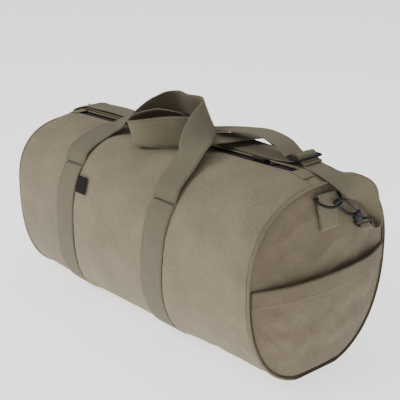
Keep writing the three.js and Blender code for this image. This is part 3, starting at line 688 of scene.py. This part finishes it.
@dataclass
class Bands:
    """The two webbing bands round the barrel and the side label."""

    width: float = 50.0
    thick: float = 1.9

    def build(self, finishes: Finishes) -> None:
        """Make both bands and the label."""
        for index, name in enumerate(("left", "right")):
            start = OUTLINE.angle_for_height(index, OUTLINE.band_top - BAND_END_DROP, True)
            stop = OUTLINE.angle_for_height(index, OUTLINE.band_top - BAND_END_DROP, False)

            def place(
                u: float, v: float, index: int = index, start: float = start, stop: float = stop
            ) -> Vector:
                angle = mix(start, stop, u)
                middle = OUTLINE.skin(OUTLINE.band_centre(index, 0), angle)
                x = OUTLINE.band_centre(index, middle.z) + (v - 0.5) * self.width
                slow = noise.noise(Vector((x / 120, middle.y / 90, middle.z / 90))) * 1.8
                side = smooth((235 - middle.z) / 60) * smooth(middle.z / 40)
                calm = smooth((OUTLINE.band_top - middle.z) / 20)
                ripple = noise.noise(Vector((angle * 9, v * 2, 4.0))) * 0.5 * calm
                lift = 0.75 + max(0.0, slow * side) + (0.5 + ripple) * smooth(middle.z / 30)
                return OUTLINE.skin(x, angle, lift, self.thick)

            strip = mapped_grid("band_" + name, (260, 10), place, (640, self.width))
            thicken(strip, self.thick, 1.0)
            finish_piece(strip, finishes.band, "webbing", "bag", "webbing_band_" + name)
        high = OUTLINE.angle_for_height(0, 239, True)
        low = OUTLINE.angle_for_height(0, 213, True)

        def label(u: float, v: float) -> Vector:
            return OUTLINE.skin(mix(-104, -77, v), mix(low, high, u), 3.4)

        tag = mapped_grid("label_patch", (12, 12), label, (27, 27))
        flip(tag)
        thicken(tag, 0.8, 1.0)
        finish_piece(tag, finishes.label, "label", "bag", "side_label")


@dataclass
class Zipper:
    """The zipper's tapes, end tabs and teeth."""

    tape_y: tuple[float, float] = (4.8, 17.0)
    tape_height: float = -4.4

    def build(self, finishes: Finishes) -> None:
        """Make the tapes and end tabs, and finish the hard parts."""
        for sign, name in ((-1, "front"), (1, "rear")):
            def place(u: float, v: float, sign: int = sign) -> Vector:
                x = mix(-266, 272, u)
                y = OUTLINE.zip_y + sign * mix(*self.tape_y, v)
                return Vector((x, y, OUTLINE.track(x) + self.tape_height))

            tape = mapped_grid("tape_" + name, (120, 4), place, (538, 12))
            if sign < 0:
                flip(tape)
            thicken(tape, 0.9, 0.0)
            finish_piece(tape, finishes.tape, "zipper", "bag", "zipper_tape_" + name)
        for end, name in ((-1, "far"), (1, "near")):
            a, b = (OUTLINE.slot[0] - 22, OUTLINE.slot[0] + 3) if end < 0 else (
                OUTLINE.slot[1] - 3, OUTLINE.slot[1] + 22)

            def tab(u: float, v: float, a: float = a, b: float = b) -> Vector:
                x, y = mix(a, b, u), mix(OUTLINE.zip_y - 15, OUTLINE.zip_y + 10.5, v)
                return OUTLINE.skin(x, OUTLINE.angle_at(x, y), 0.35)

            cover = mapped_grid("zip_tab_" + name, (14, 14), tab, (25, 25))
            thicken(cover, 0.8, 1.0)
            finish_piece(cover, finishes.binding, "canvas", "bag", "zipper_end_tab_" + name)
        for node in ("zipper_teeth_front", "zipper_teeth_rear"):
            dress(node, finishes.coil)


def dress(node: str, material: bpy.types.Material) -> None:
    """Give a CAD node its finish."""
    for slot in bpy.data.objects[node].material_slots:
        slot.material = material


# ---- strap, tabs and handles ----------------------------------------------------------------
@dataclass(frozen=True)
class HookAxes:
    """Where a hook's eye lies and how it is turned."""

    origin: Vector
    u: Vector
    v: Vector
    w: Vector

    def place(self, a: float, b: float, c: float = 0.0) -> Vector:
        """Return a point from its distances along the hook's axes."""
        return self.origin + self.u * a + self.v * b + self.w * c


HOOKS = {
    Side.NEAR: HookAxes(Vector((333.8, 62.6, 232.8)), Vector((-0.0325, -0.7717, 0.6352)),
                        Vector((0.8312, 0.3321, 0.446)), Vector((-0.5551, 0.5424, 0.6306))),
    Side.FAR: HookAxes(Vector((-330.3, 62.6, 210.8)), Vector((-0.0211, -0.7719, 0.6353)),
                       Vector((-0.8442, 0.3542, 0.4024)), Vector((0.5356, 0.5279, 0.6591))),
}
RING_HEIGHT = {Side.NEAR: 284.0, Side.FAR: 262.0}
EYE_REACH = 8.4
X_ACROSS = (1, 0, 0)
Y_ACROSS = (0, 1, 0)


@dataclass
class RingTabs:
    """The strips that hold the rings on the end panels."""

    y_range: tuple[float, float] = (-22.0, 16.0)
    wire: float = 2.1
    thick: float = 1.6
    depths: dict[Side, float] = field(default_factory=lambda: {Side.NEAR: 24.0, Side.FAR: 18.0})

    def panel_x(self, side: Side, y: float, z: float) -> float:
        """Return where the end panel's face lies at y, z."""
        half, below, above, sq = OUTLINE.section(side.value * OUTLINE.half_length)
        rim = 1.95
        dz = (z - below) / ((above if z > below else below + OUTLINE.sag) - rim)
        r = ((abs(y) / (half - rim)) ** sq + abs(dz) ** sq) ** (1 / sq)
        return side.value * (OUTLINE.half_length - 1 + self.depths[side] * max(0.0, 1 - r * r) ** 0.85)

    def build(self, finishes: Finishes) -> None:
        """Make both tabs."""
        y = sum(self.y_range) / 2
        for side in Side:
            s, ring = side.value, RING_HEIGHT[side]
            bar = Vector((self.panel_x(side, y, ring) + s * (0.35 + 1.8 + self.wire + 0.9), y, ring))
            course = [
                Vector((self.panel_x(side, y, ring + z) + s * 2.4, y, ring + z)) for z in (-48, -34, -20, -10)
            ]
            turn = self.wire + 0.5 + self.thick / 2
            for a in (190, 150, 110, 70, 30, -10, -45):
                t = math.radians(a)
                course.append(Vector((bar.x + s * turn * math.cos(t), y, bar.z + turn * math.sin(t))))
            for z in (-9, -16, -30, -46):
                off = 2.4 + self.thick + 0.5 + (0.8 if z > -12 else 0)
                course.append(Vector((self.panel_x(side, y, ring + z) + s * off, y, ring + z)))
            width = self.y_range[1] - self.y_range[0]
            stations = [(tuple(p), Y_ACROSS, 1.0) for p in course]
            tab = webbing("tab_" + side.name.lower(), stations, width, self.thick, 90)
            finish_piece(tab, finishes.strap, "webbing", "bag", "ring_tab_" + side.name.lower())


@dataclass
class ShoulderStrap:
    """The long strap, doubled between its adjuster and the far end."""

    width: float = 38.0
    thick: float = 1.8
    y: float = 21.0
    adjuster_x: float = 250.0
    adjuster_rise: float = 13.0

    def crown(self, x: float) -> float:
        """Return the highest canvas under the strap's width at x."""
        return max(OUTLINE.skin(x, OUTLINE.angle_at(x, self.y + k * self.width / 2)).z for k in (-1, 0, 1))

    def layered(self, stations: list[Station], d: float) -> list[Station]:
        """Return the stations moved d along the strip's own normal."""
        result = []
        for i, (p, w, k) in enumerate(stations):
            a, b = Vector(stations[max(0, i - 1)][0]), Vector(stations[min(len(stations) - 1, i + 1)][0])
            n = (b - a).cross(Vector(w)).normalized()
            result.append((tuple(Vector(p) + n * d), w, k))
        return result

    def over_end(self, side: Side, off: float) -> list[Station]:
        """Return the course from the top of the bag down to a hook's eye."""
        s, ring, hook = side.value, RING_HEIGHT[side], HOOKS[side]
        half, top = OUTLINE.half_length, self.crown(side.value * OUTLINE.half_length)
        course = plain([
            ((s * 266, self.y, self.crown(s * 266) + 2), Y_ACROSS),
            ((s * (half - 16), self.y, self.crown(s * (half - 16)) + 2.2), Y_ACROSS),
            ((s * (half + 1), self.y + 3, top + 3.4), Y_ACROSS),
            ((s * (half + 14), self.y + 13, top - 5), (0.1 * s, 0.95, 0.1)),
            ((s * (half + 25), 64, ring - 4), (0.35 * s, 0.7, 0.6)),
            ((s * (half + 28), 84, ring - 36), (0.75 * s, 0.6, 0.25), 0.6),
            ((s * (half + 30), 94, ring - 58), (s, 0.15, 0.1), 0.5),
            (tuple(hook.place(-EYE_REACH - 17, 0)), tuple(hook.v), 0.44),
        ])
        return self.layered(course, s * off)

    def eye_turn(self, side: Side, tail: float) -> list[Station]:
        """Return the course round the outer bar of a hook's eye."""
        hook, r = HOOKS[side], 2 + 1.2 + self.thick / 2
        out = -math.copysign(1, hook.w.x * side.value)
        near, far = -EYE_REACH - 0.4, -EYE_REACH + r
        path = ((near, r), (far, 0), (near, -r), (near - tail, -r + 0.3))
        return [(tuple(hook.place(a, 0, c * out)), tuple(hook.v), 0.42) for a, c in path]

    def build(self, finishes: Finishes) -> None:
        """Make both layers of the strap."""
        x, z = self.adjuster_x, OUTLINE.track(self.adjuster_x) + self.adjuster_rise

        def along(dx: float, dz: float) -> Station:
            return ((x + dx, self.y, z + dz), Y_ACROSS, 1.0)

        def over(px: float, lift: float) -> Station:
            return ((px, self.y, self.crown(px) + lift), Y_ACROSS, 1.0)

        run = [
            *reversed(self.eye_turn(Side.NEAR, 9)), *reversed(self.over_end(Side.NEAR, 1.4)),
            along(18, -6.4), along(12.5, -5.6), along(8.4, -1), along(4.6, 4), along(0, 5.7),
            along(-4.6, 4), along(-8.4, -0.6), along(-13, -4.4), along(-22, -1), along(-42, 11),
            over(165, 33), over(120, 28), over(78, 21), over(40, 13.5), over(0, 6.2), over(-60, 5),
            over(-140, 6), over(-200, 8), over(-240, 7),
            *self.over_end(Side.FAR, 5), *self.eye_turn(Side.FAR, 3),
        ]
        upper = webbing("strap_upper", run, self.width, self.thick, 520)
        finish_piece(upper, finishes.strap, "webbing", "bag", "strap_run")
        back = [
            *reversed(self.over_end(Side.FAR, 0.8)[:-3]),
            over(-240, 2.6), over(-190, 2.4), over(-140, 2.2), over(-80, 2), over(0, 2), over(80, 2),
            over(150, 2), over(205, 2.2),
            along(-20, -9), along(-11, -7.9), along(-4.5, -6), along(0.4, -3.3), along(3.3, 0), along(0, 3.3),
            along(-3.2, 0.3), along(-4.4, -2.8), along(-7.4, -4.4),
        ]
        lower = webbing("strap_lower", back, self.width, self.thick - 0.3, 420)
        finish_piece(lower, finishes.strap, "webbing", "bag", "strap_return")


@dataclass
class Handles:
    """The two carrying handles, one lying through the other."""

    width: float = 50.0
    thick: float = 1.9

    def departure(self, index: int, front: bool) -> list[Station]:
        """Return a handle's first stations, from just above its band up over the canvas."""
        result = []
        for rise, out in ((-1.0, 2.6), (1.6, 2.75), (17, 0.35 + self.thick / 2 + 5.7)):
            z = OUTLINE.band_top + rise
            angle = OUTLINE.angle_for_height(index, z, front)
            x = OUTLINE.band_centre(index, OUTLINE.band_top)
            w = OUTLINE.skin(x + 25, angle, out) - OUTLINE.skin(x - 25, angle, out)
            result.append((tuple(OUTLINE.skin(x, angle, out)), tuple(w), 1.0))
        return result

    def build(self, finishes: Finishes) -> None:
        """Make both handles."""
        front = [
            *self.departure(1, True),
            *plain(FRONT_HANDLE),
            *[(p, (-1, 0, 0), k) for p, _, k in reversed(self.departure(0, True))],
        ]
        fore = webbing("handle_fore", front, self.width, self.thick, 240, crown=0.0)
        finish_piece(fore, finishes.band, "webbing", "handle_front", "front_handle")
        left = [(p, (-1, 0, 0), k) for p, _, k in reversed(self.departure(0, False))]
        rear = [*self.departure(1, False), *plain(REAR_HANDLE), *left]
        aft = webbing("handle_aft", rear, self.width, self.thick, 320)
        finish_piece(aft, finishes.band, "webbing", "handle_rear", "rear_handle")


FRONT_HANDLE = (
    ((116, -98, 303), X_ACROSS),
    ((111, -74, 324), (0.97, -0.1, -0.2)),
    ((93, -44, 341), (0.75, 0, -0.65)),
    ((71, -6, 357), (0.3, 0.2, -0.93)),
    ((10, 16, 353), (0.05, 0.45, -0.89)),
    ((-40, 34, 347), (-0.05, 0.4, -0.9)),
    ((-60, 22, 347), (-0.25, 0.5, -0.83)),
    ((-72, 0, 344), (-0.5, 0.6, -0.62)),
    ((-85, -19, 335), (-0.7, 0.6, -0.38)),
    ((-98, -34, 322), (-0.8, 0.5, -0.2)),
    ((-109, -49, 309), (-0.92, 0.3, -0.08)),
    ((-117, -68, 303), (-1, 0.08, 0)),
)
REAR_HANDLE = (
    ((113, 98, 302), (1, 0.02, 0)),
    ((108, 62, 317), (1, 0.05, 0)),
    ((101, 22, 321), (1, 0.05, 0)),
    ((93, -5, 322), (0.98, 0.1, -0.1)),
    ((73, -34, 330), (0.6, 0.15, -0.75)),
    ((48, -61, 333), (0.1, 0.15, -0.98)),
    ((16, -96, 331), (0, 0.4, -0.92)),
    ((-3, -102, 329), (-0.15, 0.42, -0.9)),
    ((-11, -92, 337), (-0.45, 0.55, -0.7)),
    ((-10, -72, 347), (-0.6, 0.6, -0.55)),
    ((2, -50, 352), (-0.6, 0.6, -0.5)),
    ((18, -32, 349), (-0.6, 0.6, -0.45)),
    ((23, -12, 340), (-0.75, 0.5, -0.3)),
    ((6, 10, 328), (-0.95, 0, -0.05)),
    ((-14, 40, 325), (-0.7, -0.7, 0)),
    ((-62, 72, 314), (-0.75, -0.6, 0.05)),
    ((-104, 98, 299), (-0.95, -0.3, 0)),
)


@dataclass
class Hardware:
    """Rings, hooks, adjuster, slider and stops, which keep their own shape."""

    metal_nodes: tuple[str, ...] = (
        "zipper_slider", "zipper_pull", "zipper_stop_far", "zipper_stop_near", "adjuster_frame",
        "d_ring_near", "d_ring_far", "hook_eye_near", "hook_eye_far", "hook_body_near", "hook_body_far",
        "hook_gate_near", "hook_gate_far",
    )

    def build(self, finishes: Finishes) -> None:
        """Give each hard part its blackened finish."""
        for node in self.metal_nodes:
            dress(node, finishes.metal)


@dataclass
class Studio:
    """Camera, floor and lights."""

    target: tuple[float, float, float] = (0.0266, 0.0156, 0.1971)
    azimuth: float = 48.0
    elevation: float = 19.5
    distance: float = 1.7204
    lens: float = 93.24

    def camera(self) -> None:
        """Set the camera at its three-quarter view."""
        a, e = math.radians(self.azimuth), math.radians(self.elevation)
        away = Vector((math.sin(a) * math.cos(e), -math.cos(a) * math.cos(e), math.sin(e)))
        data = bpy.data.cameras.new("view")
        data.lens, data.sensor_width = self.lens, 36.0
        camera = bpy.data.objects.new("view", data)
        camera.location = Vector(self.target) + away * self.distance
        camera.rotation_euler = away.to_track_quat("Z", "Y").to_euler()
        bpy.context.scene.collection.objects.link(camera)
        bpy.context.scene.camera = camera

    def light(self, name: str, place: Sequence[float], size: float, power: float) -> None:
        """Add a soft square lamp aimed at the bag."""
        data = bpy.data.lights.new(name, "AREA")
        data.size, data.energy = size, power
        lamp = bpy.data.objects.new(name, data)
        lamp.location = place
        aim = Vector(place) - Vector(self.target)
        lamp.rotation_euler = aim.to_track_quat("Z", "Y").to_euler()
        bpy.context.scene.collection.objects.link(lamp)

    def build(self) -> None:
        """Make the floor, lamps and pale surroundings."""
        bm = bmesh.new()
        bmesh.ops.create_grid(bm, x_segments=1, y_segments=1, size=9.0)
        mesh = bpy.data.meshes.new("floor")
        bm.to_mesh(mesh)
        bm.free()
        floor = bpy.data.objects.new("floor", mesh)
        bpy.context.scene.collection.objects.link(floor)
        pale = Nodes("pale_floor")
        pale.shader.inputs["Base Color"].default_value = (0.9, 0.9, 0.9, 1)
        pale.shader.inputs["Roughness"].default_value = 0.9
        pale.shader.inputs["Emission Color"].default_value = (1, 1, 1, 1)
        pale.shader.inputs["Emission Strength"].default_value = 1.25
        floor.data.materials.append(pale.material)
        self.light("key", (-0.9, -2.2, 2.4), 1.6, 50)
        self.light("fill", (2.4, -1.0, 1.3), 2.0, 6)
        self.light("top", (0.0, 0.6, 2.8), 2.2, 24)
        world = bpy.data.worlds.new("pale")
        world.use_nodes = True
        world.node_tree.nodes["Background"].inputs[0].default_value = (1, 1, 1, 1)
        world.node_tree.nodes["Background"].inputs[1].default_value = 0.36
        bpy.context.scene.world = world


def main() -> None:
    """Build the bag in order."""
    logging.basicConfig(level=logging.INFO, format="%(name)s: %(message)s")
    studio = Studio()
    studio.camera()
    finishes = Finishes()
    parts = (
        Barrel(), BarrelEnds(), EndPocket(), Bands(), Zipper(),
        RingTabs(), ShoulderStrap(), Handles(), Hardware(),
    )
    for part in parts:
        part.build(finishes)
    studio.build()


if __name__ == "__main__":
    main()
